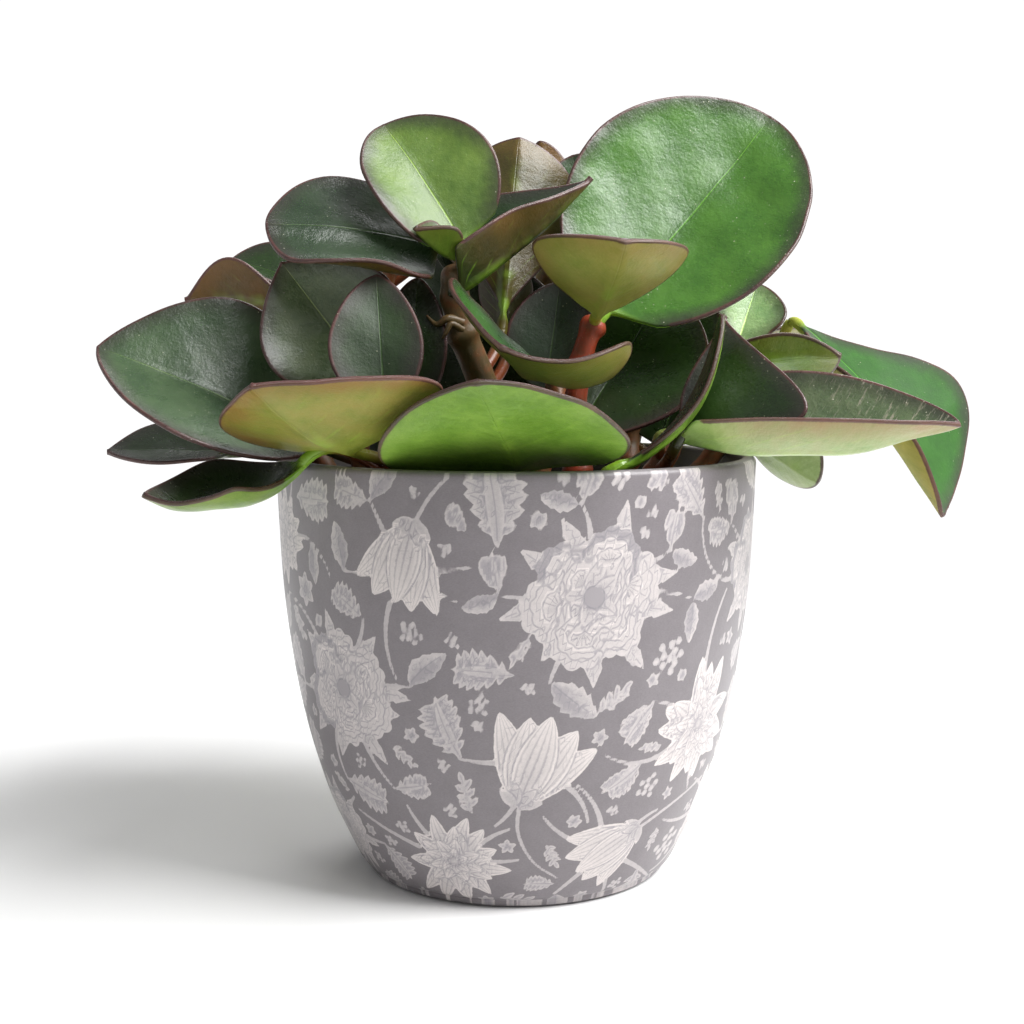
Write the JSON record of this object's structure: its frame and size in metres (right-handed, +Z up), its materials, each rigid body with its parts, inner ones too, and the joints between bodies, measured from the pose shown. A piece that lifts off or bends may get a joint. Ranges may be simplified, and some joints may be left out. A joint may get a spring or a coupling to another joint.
{
  "type": "potted peperomia",
  "caption": "Bushy potted plant with thick, glossy, red-edged leaves on short stems, standing in a round glazed planter printed with a pale floral pattern.",
  "frame": {"origin": "centre of the planter's flat foot, on the surface that it stands on", "axes": "+Z up along the planter's axis, -Y towards the front of the plant, +X to the right as seen from the front"},
  "size_m": [0.2527, 0.197, 0.2283],
  "materials": {
    "planter": "satin glaze printed with a cream and grey floral pattern",
    "nursery_pot": "matt black",
    "soil": "moist crumbly potting soil",
    "foliage": "thick glossy leaves, dark green above and lime to olive below, with pink-brown margins"
  },
  "bodies": {
    "root": {"planter": "planter", "nursery_pot": "nursery_pot", "soil": "soil", "leafy_stem_a": "foliage", "leafy_stem_b": "foliage", "leafy_stem_c": "foliage", "leafy_stem_d": "foliage", "leafy_stem_e": "foliage", "leafy_stem_f": "foliage", "leafy_stem_g": "foliage", "leafy_stem_h": "foliage", "leafy_stem_j": "foliage", "leafy_stem_k": "foliage", "leafy_stem_m": "foliage", "leafy_stem_n": "foliage"}
  },
  "joints": []
}
